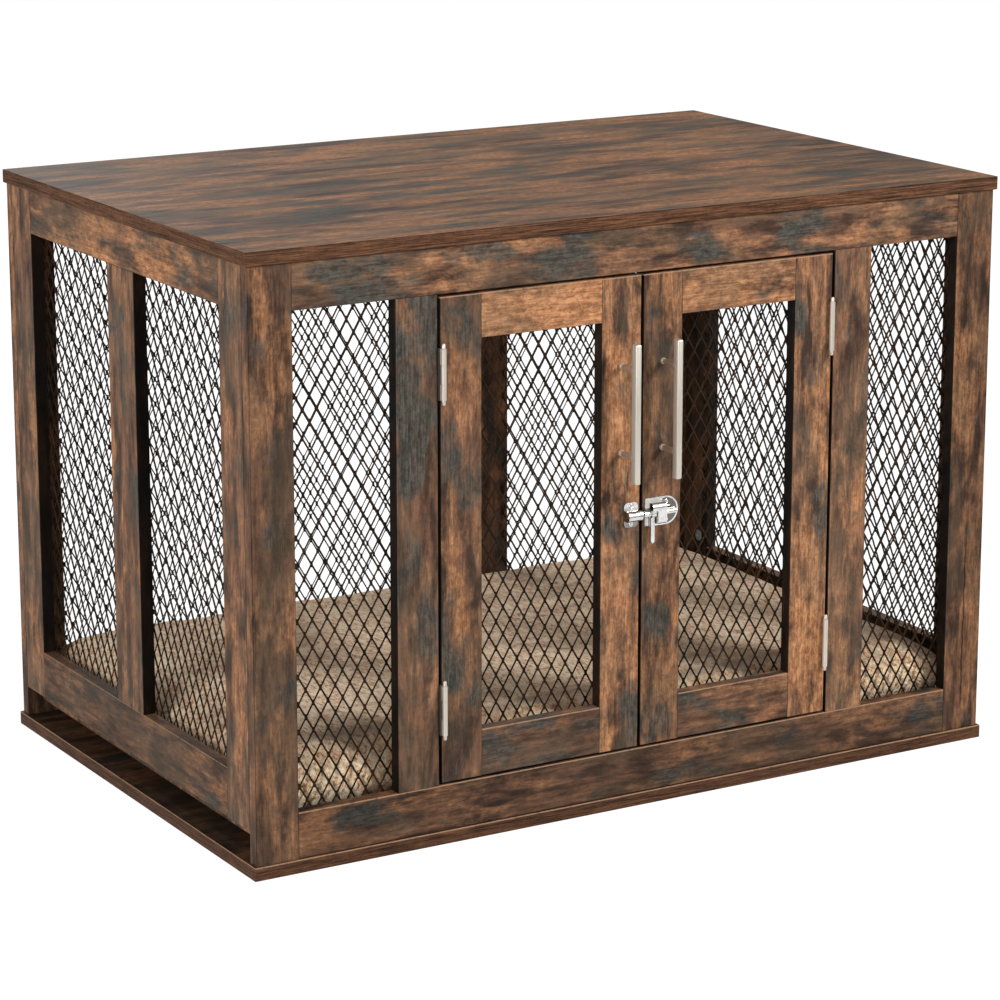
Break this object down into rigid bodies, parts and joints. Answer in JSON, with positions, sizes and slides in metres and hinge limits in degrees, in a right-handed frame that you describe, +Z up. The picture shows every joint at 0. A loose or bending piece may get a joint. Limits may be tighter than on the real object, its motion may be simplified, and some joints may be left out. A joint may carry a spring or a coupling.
{
  "type": "pet crate",
  "caption": "Wooden pet crate with framed wire-mesh walls, double front doors, bar handles, a barrel latch, a slide-out floor tray and a plush floor cushion.",
  "frame": {"origin": "middle of the base panel's underside, on the floor", "axes": "+Z up, -Y out of the front with the doors, +X to the right of someone who faces the doors"},
  "size_m": [0.95, 0.6545, 0.666],
  "materials": {
    "laminated_board": "rustic brown laminate, satin",
    "expanded_metal": "black powder coat, satin",
    "satin_nickel": "satin nickel",
    "latch_chrome": "bright chrome plate",
    "zinc": "bare zinc casting",
    "plush": "short beige plush with dark flecks"
  },
  "bodies": {
    "crate": {"back_bottom_rail": "laminated_board", "back_centre_mesh": "expanded_metal", "back_left_corner_stile": "laminated_board", "back_left_inner_stile": "laminated_board", "back_left_mesh": "expanded_metal", "back_right_corner_stile": "laminated_board", "back_right_inner_stile": "laminated_board", "back_right_mesh": "expanded_metal", "back_top_rail": "laminated_board", "base_panel": "laminated_board", "cam_locks": "zinc", "cushion": "plush", "front_bottom_rail": "laminated_board", "front_left_corner_stile": "laminated_board", "front_left_inner_stile": "laminated_board", "front_left_mesh": "expanded_metal", "front_right_corner_stile": "laminated_board", "front_right_inner_stile": "laminated_board", "front_right_mesh": "expanded_metal", "front_top_rail": "laminated_board", "hinge_frame_leaves": "satin_nickel", "hinge_pins": "satin_nickel", "left_side_bottom_rail": "laminated_board", "left_side_front_mesh": "expanded_metal", "left_side_front_stile": "laminated_board", "left_side_middle_stile": "laminated_board", "left_side_rear_mesh": "expanded_metal", "left_side_rear_stile": "laminated_board", "left_side_top_rail": "laminated_board", "right_side_bottom_rail": "laminated_board", "right_side_front_mesh": "expanded_metal", "right_side_front_stile": "laminated_board", "right_side_middle_stile": "laminated_board", "right_side_rear_mesh": "expanded_metal", "right_side_rear_stile": "laminated_board", "right_side_top_rail": "laminated_board", "top_panel": "laminated_board", "tray_battens": "laminated_board"},
    "left_door": {"left_door_hinge_stile": "laminated_board", "left_door_meeting_stile": "laminated_board", "left_door_top_rail": "laminated_board", "left_door_bottom_rail": "laminated_board", "left_door_mesh": "expanded_metal", "left_door_hinge_leaves": "satin_nickel", "left_handle": "satin_nickel", "latch_keeper": "latch_chrome", "keeper_screws": "latch_chrome"},
    "right_door": {"right_door_hinge_stile": "laminated_board", "right_door_meeting_stile": "laminated_board", "right_door_top_rail": "laminated_board", "right_door_bottom_rail": "laminated_board", "right_door_mesh": "expanded_metal", "right_door_hinge_leaves": "satin_nickel", "right_handle": "satin_nickel", "latch_body": "latch_chrome", "latch_screws": "latch_chrome"},
    "latch_bolt": {"latch_bolt": "latch_chrome"},
    "latch_lever": {"latch_lever": "latch_chrome"},
    "floor_tray": {"floor_tray": "laminated_board"}
  },
  "joints": [
    {"name": "left_door_hinge", "type": "hinge", "parent": "crate", "child": "left_door", "pos_m": [-0.248, -0.312, 0.334], "axis": [0, 0, -1], "range_deg": [0, 170]},
    {"name": "right_door_hinge", "type": "hinge", "parent": "crate", "child": "right_door", "pos_m": [0.248, -0.312, 0.334], "axis": [0, 0, 1], "range_deg": [0, 170]},
    {"name": "bolt_slide", "type": "slide", "parent": "right_door", "child": "latch_bolt", "axis": [-1, 0, 0], "range_m": [0, 0.0105]},
    {"name": "lever_turn", "type": "hinge", "parent": "latch_bolt", "child": "latch_lever", "pos_m": [0.0109, -0.3149, 0.33403], "axis": [-1, 0, 0], "range_deg": [0, 90]},
    {"name": "tray_slide", "type": "slide", "parent": "crate", "child": "floor_tray", "axis": [-1, 0, 0], "range_m": [-0.6, 0.6]}
  ]
}
